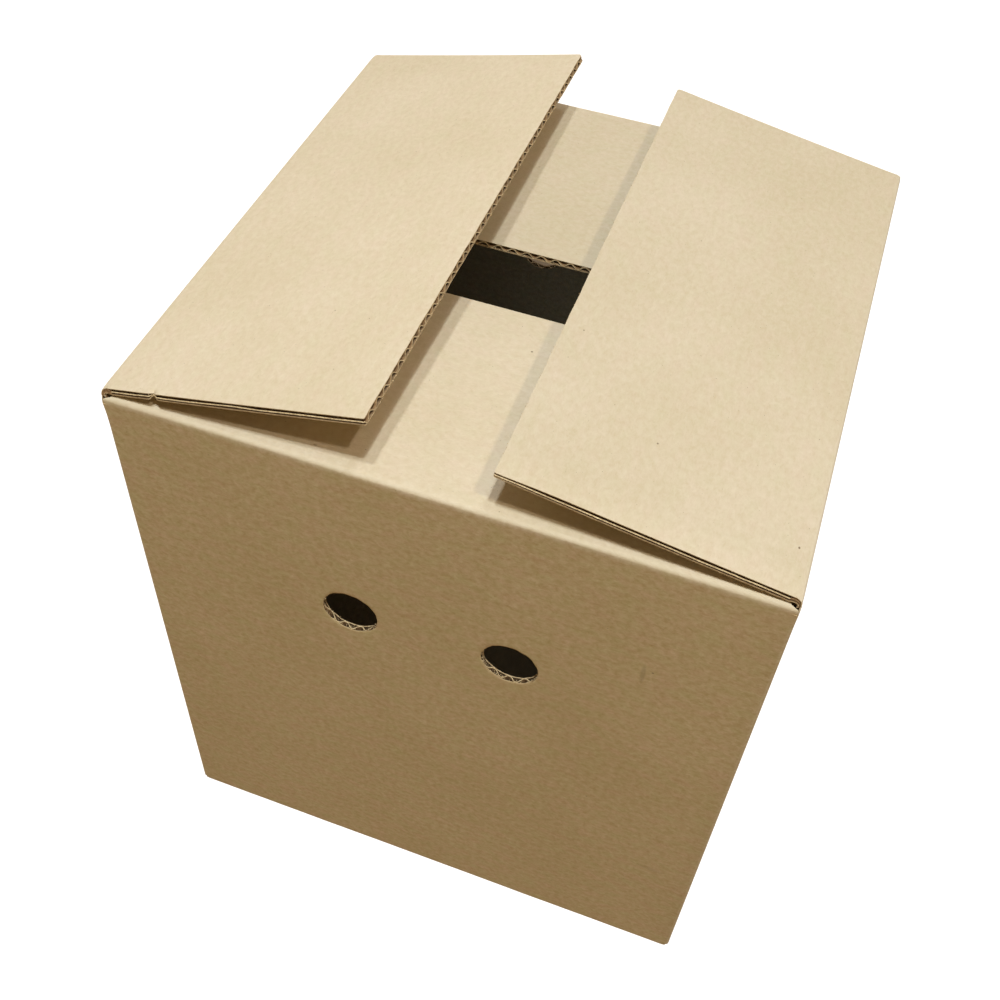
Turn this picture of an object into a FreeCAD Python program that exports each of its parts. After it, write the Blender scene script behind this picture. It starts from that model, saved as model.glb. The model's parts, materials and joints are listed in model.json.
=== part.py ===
# Egg shipping carton: one blank of single-wall corrugated board, folded into a box.
# Millimetres, +Z up, origin on the floor under the middle of the box, end panel with
# its vent holes towards -Y.  The two outer top flaps swing on their creases.
import math
import os

import FreeCAD
import Part

Vector = FreeCAD.Vector

# ---- driving dimensions -------------------------------------------------------------

# the box, outside
box_width = 310.0  # along X, over the two side panels
box_depth = 304.0  # along Y, over the two end panels
box_height = 352.0  # floor to the top of the folded inner flaps
flap_length = 130.0  # all eight flaps, from the outside of the fold to the free edge

# the board
board = 3.6  # liner, fluted medium and liner
liner = 0.35
medium = 0.35
flute_pitch = 7.75
flute_slope = 55.0  # degrees, straight flank of a flute against the liner
crest_facets = 2  # straight facets round the crest of a flute
flute_opening = 20.0  # how far a flute stays open behind a free edge
fold_inside_radius = 0.4
corner_radius = 2.0  # outside of the four upright corners

# slots between neighbouring flaps
outer_flap_inset = 1.5  # outer flap's side edge, in from the panel it passes
inner_flap_clearance = 0.6  # inner flap's side edge to the panel beside it

# top flaps as they lie
inner_flap_sag = 2.7  # degrees below level, both inner flaps
left_flap_raise = 13.4  # degrees above closed
right_flap_raise = 9.9  # degrees above closed
flap_corner_radius = 1.0  # free corners of the outer flaps
crease_clearance = 0.3  # outer flap to what it lies on, open or closed

# crushed board along an outer flap's crease
crush_length = 5.0
crush_thickness = 2.6
crease_radius = 2.0

# round vent holes, two in each end panel
hole_diameter = 28.5
hole_spacing = 81.6
hole_height = 246.4  # floor to hole centre
rim_opening = 5.0  # how far a flute stays open above and below a hole

# glued lap inside the rear left corner
lap_width = 35.0
lap_thickness = 2.4
lap_end_gap = 10.0  # from the folded flaps at either end

# ---- what follows from them ---------------------------------------------------------

fold_radius = board + fold_inside_radius
inner_flap_inset = board + inner_flap_clearance
crease_height = box_height + board + 2.0 * crease_clearance
core = board - 2.0 * liner
side_fold_height = board + fold_radius
past = 1.0  # how far a cutting tool reaches beyond what it cuts


# ---- helpers ------------------------------------------------------------------------

def block(x_range, y_range, z_range):
    """Box between the two limits given for each axis."""
    size = [high - low for low, high in (x_range, y_range, z_range)]
    return Part.makeBox(*size, Vector(x_range[0], y_range[0], z_range[0]))


def extruded(edges, length):
    """Solid from a closed outline in the XZ plane, centred on Y."""
    face = Part.Face(Part.Wire(Part.__sortEdges__(edges)))
    face.translate(Vector(0, -length / 2.0, 0))
    return face.extrude(Vector(0, length, 0))


def outline(points):
    """Straight edges through the (x, z) points, left open at the end."""
    corners = [Vector(x, 0, z) for x, z in points]
    return [Part.LineSegment(a, b).toShape() for a, b in zip(corners, corners[1:])]


def arc(start, middle, end):
    """Edge of a circle through three (x, z) points."""
    return Part.Arc(*[Vector(x, 0, z) for x, z in (start, middle, end)]).toShape()


def on_circle(radius, degrees):
    """Point of a circle about the origin, as (x, z)."""
    angle = math.radians(degrees)
    return radius * math.cos(angle), radius * math.sin(angle)


# ---- corrugated board ---------------------------------------------------------------

def flute_void(length):
    """Air under one flute: straight flanks and a crest in short facets, along +X."""
    slope = math.radians(flute_slope)
    crest = core / 2.0 - medium
    half_width = (flute_pitch / 2.0 - medium / math.sin(slope)) / 2.0
    radius = (half_width - crest / math.tan(slope)) / math.tan(slope / 2.0)
    shoulder_y = radius * math.sin(slope)
    shoulder_z = crest - radius * (1.0 - math.cos(slope))
    foot_y = shoulder_y + (shoulder_z + core / 2.0) / math.tan(slope)
    corners = [Vector(0, -foot_y, -core / 2.0), Vector(0, foot_y, -core / 2.0)]
    for index in range(crest_facets + 1):
        angle = slope * (1.0 - 2.0 * index / crest_facets)
        y = radius * math.sin(angle)
        z = crest - radius * (1.0 - math.cos(angle))
        corners.append(Vector(0, y, z))
    face = Part.Face(Part.makePolygon(corners + corners[:1]))
    return face.extrude(Vector(length, 0, 0))


def flute_rows(span):
    """Sideways place of each flute void over a span, and whether it is turned over."""
    count = round(span / flute_pitch)
    rows = []
    for index in range(2 * count + 1):
        y = (index - count + 0.5) * flute_pitch / 2.0
        rows.append((y, index % 2 == 1))
    return rows


def flutes(span, start, free_edge, top):
    """Voids of a flap that is span wide, with its outer face at height top.

    The flutes are open from the free edge inwards.  Those that the side edges cut
    through run all the way from start, so the side edges show the fluted medium.
    """
    voids = []
    for y, turned in flute_rows(span):
        at_side = abs(y) > (span - flute_pitch) / 2.0
        inner_end = start if at_side else free_edge - flute_opening
        void = flute_void(free_edge + past - inner_end)
        if turned:
            void.rotate(Vector(0, 0, 0), Vector(1, 0, 0), 180)
        void.translate(Vector(inner_end, y, top - board / 2.0))
        voids.append(void)
    return Part.makeCompound(voids)


# ---- folded flaps of the carton body ------------------------------------------------

def folded_flap(width, sag, open_flutes):
    """Fold and flap of a panel whose outer face is the plane X = 0.

    The flap leads towards +X, sag degrees below level.  The fold begins at Z = 0 and
    reaches up to the fold radius.  With open_flutes, the flap's free edge and side
    edges show the fluted medium.
    """
    turn_end = 90.0 - sag
    turn_middle = (180.0 + turn_end) / 2.0
    outer = [on_circle(fold_radius, degrees) for degrees in (180.0, turn_middle, turn_end)]
    inner = [on_circle(fold_inside_radius, degrees) for degrees in (180.0, turn_middle, turn_end)]
    edges = [arc(*outer), arc(*inner)]
    edges += outline([outer[0], inner[0]])
    edges += outline([outer[2], inner[2]])
    fold = extruded(edges, width)
    free_edge = flap_length - fold_radius
    flap = block((0, free_edge), (-width / 2.0, width / 2.0), (fold_inside_radius, fold_radius))
    if open_flutes:
        flap = flap.cut(flutes(width, 0, free_edge, fold_radius))
    flap.rotate(Vector(0, 0, 0), Vector(0, 1, 0), sag)
    folded = fold.fuse(flap)
    folded.translate(Vector(fold_radius, 0, 0))
    return folded


def on_panel(shape, panel):
    """Moves a shape made against the plane X = 0 to the named panel's outer face."""
    turns = {"left": 0, "front": 90, "right": 180, "back": 270}
    reach = box_width / 2.0 if panel in ("left", "right") else box_depth / 2.0
    shape.translate(Vector(-reach, 0, 0))
    shape.rotate(Vector(0, 0, 0), Vector(0, 0, 1), turns[panel])
    return shape


def top_inner_flap(panel):
    flap = folded_flap(box_width - 2.0 * inner_flap_inset, inner_flap_sag, True)
    flap.translate(Vector(0, 0, box_height - fold_radius))
    return on_panel(flap, panel)


def bottom_flap(panel, width, fold_height):
    flap = folded_flap(width, 0.0, False)
    flap.rotate(Vector(0, 0, 0), Vector(1, 0, 0), 180)
    flap.translate(Vector(0, 0, fold_height))
    return on_panel(flap, panel)


# ---- carton body --------------------------------------------------------------------

def panels():
    """The four upright panels as one ring with rounded corners."""
    low = fold_radius
    high = box_height - fold_radius
    half_width = box_width / 2.0
    half_depth = box_depth / 2.0
    ring = block((-half_width, half_width), (-half_depth, half_depth), (low, high))
    upright = [edge for edge in ring.Edges if abs(edge.tangentAt(edge.FirstParameter).z) > 0.5]
    ring = ring.makeFillet(corner_radius, upright)
    inside = block(
        (-half_width + board, half_width - board),
        (-half_depth + board, half_depth - board),
        (low - past, high + past),
    )
    return ring.cut(inside)


def side_panel_rim(panel):
    """Upper edge of a side panel, crushed to lie along the foot of its outer flap."""
    outside = crease_height - 2.0 * crease_clearance - crush_thickness
    inside = outside - board * (board - crush_thickness) / crush_length
    foot = box_height - fold_radius
    edges = outline([(0, foot), (board, foot), (board, inside), (0, outside), (0, foot)])
    return on_panel(extruded(edges, box_depth - 2.0 * outer_flap_inset), panel)


def side_fold_slot(panel):
    """Room that a side panel leaves at its foot, where its bottom flap turns inwards."""
    half_length = box_depth / 2.0 - inner_flap_inset
    slot = block((-past, board), (-half_length, half_length), (0, side_fold_height))
    return on_panel(slot, panel)


def glued_lap():
    """Lap of the rear panel, glued inside the left panel."""
    left = -box_width / 2.0 + board
    back = box_depth / 2.0 - board
    low = 2.0 * board + lap_end_gap
    high = box_height - fold_radius - lap_end_gap
    return block((left, left + lap_thickness), (back - lap_width, back), (low, high))


def vent_holes():
    tools = []
    for side in (-1, 1):
        start = Vector(side * hole_spacing / 2.0, -box_depth / 2.0 - past, hole_height)
        length = box_depth + 2.0 * past
        tools.append(Part.makeCylinder(hole_diameter / 2.0, length, start, Vector(0, 1, 0)))
    return tools


def rim_flutes(panel):
    """Flutes of an end panel, open above and below in the rims of its vent holes."""
    low = hole_height - hole_diameter / 2.0 - rim_opening
    high = hole_height + hole_diameter / 2.0 + rim_opening
    voids = []
    for y, turned in flute_rows(box_width - 2.0 * inner_flap_inset):
        if abs(abs(y) - hole_spacing / 2.0) > hole_diameter / 2.0 - liner:
            continue
        void = flute_void(high - low)
        if turned:
            void.rotate(Vector(0, 0, 0), Vector(1, 0, 0), 180)
        void.rotate(Vector(0, 0, 0), Vector(0, 1, 0), -90)
        void.translate(Vector(board / 2.0, y, low))
        voids.append(on_panel(void, panel))
    return voids


def carton_body():
    body = panels().cut([side_fold_slot("left"), side_fold_slot("right")])
    pieces = [top_inner_flap("front"), top_inner_flap("back")]
    pieces += [side_panel_rim("left"), side_panel_rim("right")]
    for panel in ("front", "back"):
        pieces.append(bottom_flap(panel, box_width - 2.0 * outer_flap_inset, fold_radius))
    for panel in ("left", "right"):
        pieces.append(bottom_flap(panel, box_depth - 2.0 * inner_flap_inset, side_fold_height))
    pieces.append(glued_lap())
    body = body.fuse(pieces)
    body = body.removeSplitter().cut(vent_holes())
    return body.cut(rim_flutes("front") + rim_flutes("back"))


# ---- outer flaps --------------------------------------------------------------------

def outer_flap(panel, raised):
    """Outer top flap, crushed along its crease, swung up about the crease line."""
    top = -crease_clearance
    under = top - board
    span = box_depth - 2.0 * outer_flap_inset
    edges = outline([
        (crease_radius, top),
        (flap_length, top),
        (flap_length, under),
        (crush_length, under),
        (0, top - crush_thickness),
        (0, top - crease_radius),
    ])
    centre_x = crease_radius
    centre_z = top - crease_radius
    bend_x, bend_z = on_circle(crease_radius, 135.0)
    middle = (centre_x + bend_x, centre_z + bend_z)
    edges.append(arc((0, top - crease_radius), middle, (crease_radius, top)))
    flap = extruded(edges, span)
    corners = [edge for edge in flap.Edges if edge.BoundBox.XMin > flap_length - past
               and edge.BoundBox.YLength < past]
    flap = flap.makeFillet(flap_corner_radius, corners)
    flap = flap.cut(flutes(span, crush_length, flap_length, top))
    flap.rotate(Vector(0, 0, 0), Vector(0, -1, 0), raised)
    flap.translate(Vector(0, 0, crease_height))
    return on_panel(flap, panel)


# ---- the carton ---------------------------------------------------------------------

def main():
    os.makedirs("parts", exist_ok=True)
    nodes = {
        "carton_body": carton_body(),
        "left_outer_flap": outer_flap("left", left_flap_raise),
        "right_outer_flap": outer_flap("right", right_flap_raise),
    }
    for name, shape in nodes.items():
        shape.exportStep(f"parts/{name}.step")
        print(name, "solids", len(shape.Solids), "valid", shape.isValid(), "faces", len(shape.Faces))


main()
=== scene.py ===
import json
import math
import bpy
import bmesh
import numpy as np
from mathutils import Matrix, Vector, noise


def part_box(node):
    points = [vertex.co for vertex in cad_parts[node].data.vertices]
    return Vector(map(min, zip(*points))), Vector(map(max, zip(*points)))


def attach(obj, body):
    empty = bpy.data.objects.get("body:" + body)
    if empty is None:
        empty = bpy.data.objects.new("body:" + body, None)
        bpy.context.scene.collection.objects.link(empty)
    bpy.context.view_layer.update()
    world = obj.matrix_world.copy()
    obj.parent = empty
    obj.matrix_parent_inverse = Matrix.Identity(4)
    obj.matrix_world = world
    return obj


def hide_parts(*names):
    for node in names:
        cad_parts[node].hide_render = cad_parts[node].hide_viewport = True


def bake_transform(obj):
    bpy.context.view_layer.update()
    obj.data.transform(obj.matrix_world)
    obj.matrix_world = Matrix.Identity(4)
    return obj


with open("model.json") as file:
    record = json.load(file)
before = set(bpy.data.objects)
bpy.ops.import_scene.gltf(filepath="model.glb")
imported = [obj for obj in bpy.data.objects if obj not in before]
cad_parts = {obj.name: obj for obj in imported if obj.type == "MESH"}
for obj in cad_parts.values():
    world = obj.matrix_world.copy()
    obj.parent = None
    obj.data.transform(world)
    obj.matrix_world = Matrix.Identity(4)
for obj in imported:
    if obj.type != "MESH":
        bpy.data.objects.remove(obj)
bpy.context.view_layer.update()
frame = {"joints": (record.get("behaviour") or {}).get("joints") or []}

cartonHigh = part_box("carton_body")[1]
hinges = {joint["child"]: joint for joint in frame["joints"]}
scene = bpy.context.scene

# metres; the carton stands on z = 0 with its vent holes towards -y
board = {
    "thickness": 0.0036,
    "liner": 0.00040,
    "medium": 0.00050,
    "flutePitch": 0.00775,
    "foldSpace": 0.004,  # what a fold takes up on each side of its corner
    "foldRadius": (0.0021, 0.0004),  # outside and inside of a fold
    "foldStraight": 0.2,  # share of a fold at each end that is still straight
    "cornerRadius": (0.0020, 0.0004),  # upright corners, outside and inside
    "topCornerRadius": (0.0006, 0.0003),  # the same corners at the top folds
    "cornerEasing": 0.010,  # height over which they tighten
    "edgeCrush": 0.10,  # how far a cut edge is pressed together
    "crushReach": 0.0012,
}
meshing = {
    "weld": 0.00003,
    "sharpAngle": 0.6,
    "apart": 0.0002,  # least distance between two grid lines
    "wall": 0.0075,  # steps of the liner grids
    "foot": 0.002,
    "flap": 0.010,
    "outerFlap": (0.005, 0.006),
    # lines beside an outer flap's cut edges
    "outerFlapInsets": (0, 0.00022, 0.0004, 0.0006, 0.0008, 0.0012, 0.0017, 0.0022, 0.0035),
    "mediumTop": 0.012,
    "mediumBottom": 0.018,
}

# ---- materials

kraft = {
    "pale": (0.985, 0.880, 0.672, 1),  # the sheet lies halfway between these two
    "brown": (0.430, 0.275, 0.075, 1),
    "wallPaintedShade": (0.895, 0.825, 0.655, 1),  # painted shade: the walls are drawn darker and browner than the flaps
    "insideGreyAndShade": (0.80, 0.79, 0.80, 1),  # the inside paper is greyer, and drawn darker as painted shade
    "wornAndHighlit": (0.800, 0.680, 0.465, 1),  # paler line along the folds: rubbed paper and a painted highlight
    "wornAndHighlitShares": (0.3, 0.6),  # least and most, as the clumps have it
    "speck": (0.130, 0.075, 0.035, 1),
    "noises": {  # length along the sheet, across the flutes, then width, detail and bend
        "fibres": (0.0017, 0.0008, 3.0, 0.5),
        "fineFibres": (0.0009, 0.0005, 2.0, 0.0),
        "clumps": (0.0036, 0.0028, 2.0, 0.4),
        "mottle": (0.012, 0.008, 3.0, 0.0),
        "specks": (0.0011, 0.0008, 1.0, 0.0),
    },
    "tone": 0.070,
    "darkSide": (0.915, 0.915, 0.905, 1),  # the sheet is a little darker beyond the front panel
    "darkFrom": (0.600, 0.630),
    "flapContrast": 0.40,  # how strongly the fibres show on the flaps and on the walls; the walls' stronger contrast is partly painted shade from grazing light on the relief
    "wallContrastAndShade": 0.95,
    "speckShare": 0.765,  # and how soft and how dark a speck is
    "speckEdge": 0.04,
    "speckDark": 0.75,
    "grainShares": (0.36, 0.17, 0.62),  # fibres, fine fibres and clumps in the colour
    "reliefShares": (1.0, 0.4, 1.2),  # the same three in the relief
    "washboard": 0.05,  # how much of the flutes the relief shows
    "mottleShades": ((0.955, 1.005, 0.940, 1), (1.045, 0.995, 1.060, 1)),
    "flapMottle": 0.35,  # share of the mottling that the flaps keep
    "toneShades": ((0.97, 0.965, 0.94, 1), (1.03, 1.03, 1.05, 1)),
    "foldHeight": cartonHigh.z - 0.0035,
    "roughness": (0.78, 0.92),
    "relief": 0.00035,
    "reliefStrength": 0.28,
}
cutPaper = {
    "light": (0.880, 0.685, 0.385, 1),
    "dark": (0.420, 0.270, 0.120, 1),
    "grain": 0.0010,
}
# the glued side of each liner, drawn dark: painted shade in the cavities between the flutes
gluedPaperShade = {
    "light": (0.350, 0.225, 0.110, 1),
    "dark": (0.180, 0.105, 0.048, 1),
    "grain": 0.0016,
}
# the fluting is browner than the liners, and drawn darker still as painted shade in its cavities
mediumPaperWithShade = {
    "light": (0.400, 0.240, 0.105, 1),
    "dark": (0.140, 0.072, 0.028, 1),
    "grain": 0.0015,
}
rawFinish = {  # what these three share
    "patchShades": ((0.8, 0.79, 0.77, 1), (1.15, 1.15, 1.14, 1)),
    "patchSize": 5,  # times the grain
    "roughness": (0.85, 0.98),
    "reliefStrength": 0.5,
    "relief": 0.0002,
}
paperGloss = 0.22


def addNode(tree, kind, values=None, **settings):  # a value is a number, a colour or a socket to join
    node = tree.nodes.new(kind)
    for setting, value in settings.items():
        setattr(node, setting, value)
    for socket, value in (values or {}).items():
        if isinstance(value, bpy.types.NodeSocket):
            tree.links.new(value, node.inputs[socket])
        else:
            node.inputs[socket].default_value = value
    return node


def newMaterial(name):
    material = bpy.data.materials.new(name)
    material.use_nodes = True
    material.node_tree.nodes.clear()
    return material, material.node_tree


def finishSurface(tree, colour, roughness, height, strength, distance):
    bump = addNode(tree, "ShaderNodeBump", {"Strength": strength, "Distance": distance, "Height": height})
    values = {"Specular IOR Level": paperGloss, "Base Color": colour, "Roughness": roughness,
              "Normal": bump.outputs["Normal"]}
    surface = addNode(tree, "ShaderNodeBsdfPrincipled", values)
    addNode(tree, "ShaderNodeOutputMaterial", {"Surface": surface.outputs["BSDF"]})


def blendColour(tree, factor, first, second, kind="MIX"):
    values = {0: factor, 6: first, 7: second}
    return addNode(tree, "ShaderNodeMix", values, data_type="RGBA", blend_type=kind).outputs[2]


def multiplied(tree, colour, shade):
    return blendColour(tree, 1.0, colour, shade, "MULTIPLY")


def noiseOn(tree, coordinate, size, detail, rough=0.55, bend=0.0):
    place = addNode(tree, "ShaderNodeMapping", {"Vector": coordinate, "Scale": [1 / edge for edge in size]})
    values = {"Vector": place.outputs["Vector"], "Scale": 1.0, "Detail": detail, "Roughness": rough,
              "Distortion": bend}
    return addNode(tree, "ShaderNodeTexNoise", values).outputs["Fac"]


def rangeOf(tree, value, low, high, newLow=0.0, newHigh=1.0):
    values = dict(enumerate((value, low, high, newLow, newHigh)))
    return addNode(tree, "ShaderNodeMapRange", values).outputs[0]


def shadeBy(tree, colour, factor, shades):  # multiplies a colour by a noise between two shades
    return multiplied(tree, colour, blendColour(tree, rangeOf(tree, factor, 0.3, 0.7), *shades))


def mathOf(tree, operation, *values):
    return addNode(tree, "ShaderNodeMath", dict(enumerate(values)), operation=operation).outputs[0]


def sumOf(tree, parts):
    total = 0.0
    for value, amount in parts:
        total = mathOf(tree, "MULTIPLY_ADD", value, amount, total)
    return total


def spotOf(tree, flat, mark):  # a soft oval mark on the outer paper
    name, side, height, width, length, dark = mark
    start = side + blankStarts[name]
    values = {"Vector": flat, "Scale": (2 / width, 2 / length, 0),
              "Location": (-2 * start / width, -2 * height / length, 0)}
    place = addNode(tree, "ShaderNodeMapping", values).outputs["Vector"]
    spot = addNode(tree, "ShaderNodeTexGradient", {"Vector": place}, gradient_type="SPHERICAL")
    return rangeOf(tree, spot.outputs["Fac"], 0.0, 0.5, 0.0, dark)


def makeKraftLiner(name, tint=None):
    material, tree = newMaterial(name)
    # where the point lies on the flat blank
    flat = addNode(tree, "ShaderNodeAttribute", attribute_name="blankPlace").outputs["Vector"]
    *grains, mottle, specks = [noiseOn(tree, flat, (length, width, 1), detail, bend=bend)
                               for length, width, detail, bend in kraft["noises"].values()]
    tone = noiseOn(tree, flat, (kraft["tone"],) * 3, 2.0)
    parts = addNode(tree, "ShaderNodeSeparateXYZ", {0: flat}).outputs
    foldHeight = kraft["foldHeight"]
    onWall = rangeOf(tree, parts["Y"], foldHeight - 0.002, foldHeight + 0.002, 1.0, 0.0)

    # fibres, lighter and darker than the sheet, then its slower changes of colour
    # fibre grain, with stronger contrast on the walls as painted shade from grazing light
    contrast = rangeOf(tree, onWall, 0.0, 1.0, kraft["flapContrast"], kraft["wallContrastAndShade"])
    uneven = sumOf(tree, zip(grains, kraft["grainShares"]))
    centred = mathOf(tree, "SUBTRACT", uneven, 0.5 * sum(kraft["grainShares"]))
    share = rangeOf(tree, mathOf(tree, "MULTIPLY", centred, contrast), -0.5, 0.5)
    colour = blendColour(tree, share, kraft["brown"], kraft["pale"])
    blotchy = shadeBy(tree, colour, mottle, kraft["mottleShades"])
    mottled = rangeOf(tree, onWall, 0.0, 1.0, kraft["flapMottle"], 1.0)
    colour = blendColour(tree, mottled, colour, blotchy)
    colour = shadeBy(tree, colour, tone, kraft["toneShades"])
    onDark = rangeOf(tree, parts["X"], *kraft["darkFrom"])
    colour = blendColour(tree, onDark, colour, multiplied(tree, colour, kraft["darkSide"]))
    # painted shade: the walls get a darker, browner colour than the flaps
    colour = blendColour(tree, onWall, colour, multiplied(tree, colour, kraft["wallPaintedShade"]))
    first = kraft["speckShare"]
    onSpeck = rangeOf(tree, specks, first, first + kraft["speckEdge"], 0.0, kraft["speckDark"])
    colour = blendColour(tree, onSpeck, colour, kraft["speck"])
    if not tint:
        for mark in marks:
            colour = blendColour(tree, spotOf(tree, flat, mark), colour, kraft["speck"])
    # a paler line along the folds: rubbed paper and a painted highlight
    rubbedAndHighlit = addNode(tree, "ShaderNodeAttribute", attribute_name="foldWearAndHighlight").outputs["Fac"]
    patchy = rangeOf(tree, grains[-1], 0.25, 0.65, *kraft["wornAndHighlitShares"])
    colour = blendColour(tree, mathOf(tree, "MULTIPLY", rubbedAndHighlit, patchy), colour, kraft["wornAndHighlit"])
    if tint:
        colour = multiplied(tree, colour, tint)

    # the flutes show faintly through the liner
    values = {"Vector": flat, "Scale": math.pi / 10 / board["flutePitch"], "Distortion": 0.0}
    wave = addNode(tree, "ShaderNodeTexWave", values).outputs["Fac"]
    relief = sumOf(tree, zip((wave, *grains), (kraft["washboard"], *kraft["reliefShares"])))
    roughness = rangeOf(tree, mottle, 0.3, 0.7, *kraft["roughness"])
    finishSurface(tree, colour, roughness, relief, kraft["reliefStrength"], kraft["relief"])
    return material


def makeRawPaper(name, values):
    material, tree = newMaterial(name)
    place = addNode(tree, "ShaderNodeTexCoord").outputs["Object"]
    grain = noiseOn(tree, place, (values["grain"],) * 3, 4.0, 0.65)
    patches = noiseOn(tree, place, (values["grain"] * rawFinish["patchSize"],) * 3, 2.0)
    colour = blendColour(tree, rangeOf(tree, grain, 0.3, 0.7), values["dark"], values["light"])
    colour = shadeBy(tree, colour, patches, rawFinish["patchShades"])
    roughness = rangeOf(tree, grain, 0.3, 0.7, *rawFinish["roughness"])
    finishSurface(tree, colour, roughness, grain, rawFinish["reliefStrength"], rawFinish["relief"])
    return material


# ---- where a point of the flat blank lies on the folded carton

carton = {
    "foldTop": cartonHigh.z - 0.001,  # top of the folded inner flaps
    "rimTop": cartonHigh.z - 0.0004,  # top of the side panels
    "flapLength": 0.130,
    "innerFlapInset": 0.0042,
    "outerFlapInset": 0.0015,
    "innerFlapSag": 2.7,  # degrees
    "holeDiameter": 0.0285,
    "holeSpacing": 0.0816,
    "holeHeight": 0.2464,
    "rimRaggedness": 0.00038,
    "panelBow": 0.0007,  # how far a panel is drawn in at its middle
    "foldWander": 0.00030,
    "freeBevel": 0.0007,  # the knife leaves the inner layer longest at a flap's free edge
    "cornerLean": 0.0009,  # how far a corner's top is drawn in between the folds
    "wearAndHighlightWidth": 0.0016,  # paler line along each fold: rubbed paper and a painted highlight
    "creaseWearAndHighlight": 0.006,  # how far above a side panel the paler line of its crease lies
    "wideningReach": 0.006,  # how far from a corner the panel widens towards the top
    "bevelReach": 0.005,
    "endsFrom": 0.0024,  # past a top fold's start a flap takes its own width, over this height
    "endsOver": (0.0022, 0.0055),  # at the top and at the bottom
    "rimSlope": 0.0007,  # a side panel's rim slopes down inwards
    "jointGap": 0.0004,  # side panel's raw edge to the glue lap
    "lapWidth": 0.035,
    "lapThickness": 0.0024,
    "lapThinning": 0.004,  # from its corner to where it is this thin
    "lapEndGap": 0.010,
    "lapTaper": 0.008,
    "lapClearance": 0.0001,
    "seamMedium": 0.012,  # width of the fluting that shows at the glued joint
}
outerFlaps = {
    "left": {"body": "left_flap", "node": "left_outer_flap", "seed": 11, "phase": 0.33, "freeBevel": 0.0005},
    "right": {"body": "right_flap", "node": "right_outer_flap", "seed": 23, "phase": 0.67, "freeBevel": 0.0},
    "length": 0.130,
    "clearance": 0.0003,  # outer face below the crease line
    "blankStart": 0.3585,  # height on the blank where a flap begins
    "frontCorner": 0.0008,  # radius of the free corners
    "rearCorner": 0.0022,
    "rootStart": 0.003,  # where the flap's own liner begins, beyond the crease strip
    "mediumStart": 0.0048,
    "crushLength": 0.005,
    "crushThickness": 0.0019,
    "droop": 0.0005,
    "edgeWander": 0.00016,
    "wanderReach": 0.004,
    "edgeBevel": 0.0006,  # the knife leaves the inner layer longest at the side edges
    "bevelReach": (0.004, 0.005),  # at the side edges and at the free edge
    "nick": {"name": "left", "side": 1, "run": 0.0262, "width": 0.0013, "reach": 0.0028, "depth": 0.0018,
             "meet": 0.62, "press": 0.75},
    "softCorner": {"name": "right", "side": -1, "reach": 0.016, "narrowing": 2.2, "meet": 0.8,
                   "press": 0.45, "spread": 0.0007},
}
halfWidth, halfDepth = cartonHigh.x, cartonHigh.y
foldSpace, thickness = board["foldSpace"], board["thickness"]
turnStart = board["foldStraight"]
topStart = carton["foldTop"] - foldSpace  # where the top folds begin
rimTop = carton["rimTop"]
turnTop = math.radians(90 + carton["innerFlapSag"])
flapRun = carton["flapLength"] - foldSpace
topFold = topStart + foldSpace * turnTop  # where the top flaps begin and end
topEnd = topFold + flapRun
outerHalf, outerLength = halfDepth - carton["outerFlapInset"], outerFlaps["length"]
crushShare = 1 - outerFlaps["crushThickness"] / thickness  # of the board's thickness, at a crease


def between(pair, depth):  # outside and inside radius, some way into the board
    return pair[0] + (pair[1] - pair[0]) * depth / thickness


def rampTo(value, end, reach):  # 0 until this reach before the end, 1 from the end on
    return np.clip((value - end) / reach + 1, 0, 1)


def cornerAt(depth, height=0.0):  # radius of an upright corner
    toTop = rampTo(height, topStart, board["cornerEasing"])
    wide = between(board["cornerRadius"], depth)
    return wide + (between(board["topCornerRadius"], depth) - wide) * toTop


cornerArc = cornerAt(0) * math.pi / 2

# heading runs to the right as seen from outside; low and high are the corners beside the panel
panels = {
    "left": {"normal": (-1, 0, 0), "heading": (0, -1, 0), "reach": halfWidth, "half": halfDepth},
    "front": {"normal": (0, -1, 0), "heading": (1, 0, 0), "reach": halfDepth, "half": halfWidth},
    "right": {"normal": (1, 0, 0), "heading": (0, 1, 0), "reach": halfWidth, "half": halfDepth},
    "back": {"normal": (0, 1, 0), "heading": (-1, 0, 0), "reach": halfDepth, "half": halfWidth},
}
for name, panel in panels.items():
    panel["low"], panel["high"] = -panel["half"], panel["half"]
# the lap turns in beside the left panel
panels["back"]["high"] = halfWidth - thickness - carton["lapClearance"]


def flatLow(name, depth):  # where the flat part begins, at this depth
    if name == "left":
        return panels[name]["low"] + carton["jointGap"]  # the raw edge at the glued joint
    return panels[name]["low"] + depth + cornerAt(depth)


def flatHigh(name, depth):
    return panels[name]["high"] - depth - cornerAt(depth)


along = 0.0
for name, panel in panels.items():
    for key in ("normal", "heading"):
        panel[key] = np.array(panel[key], float)
    panel["blankStart"] = along - flatLow(name, 0)  # blank place = this + sideways place
    along += flatHigh(name, 0) - flatLow(name, 0) + cornerArc
    isEnd = name in ("front", "back")
    panel["bottomStart"] = foldSpace if isEnd else foldSpace + thickness
    panel["bottomFold"] = panel["bottomStart"] - foldSpace * math.pi / 2
    panel["bottomEnd"] = panel["bottomFold"] - flapRun
    panel["bottomFlap"] = (halfWidth - carton["outerFlapInset"] if isEnd
                           else halfDepth - carton["innerFlapInset"])
    panel["topFlap"] = (halfWidth - carton["innerFlapInset"] if isEnd
                        else halfDepth - carton["outerFlapInset"])
up = np.array((0.0, 0.0, 1.0))

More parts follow.
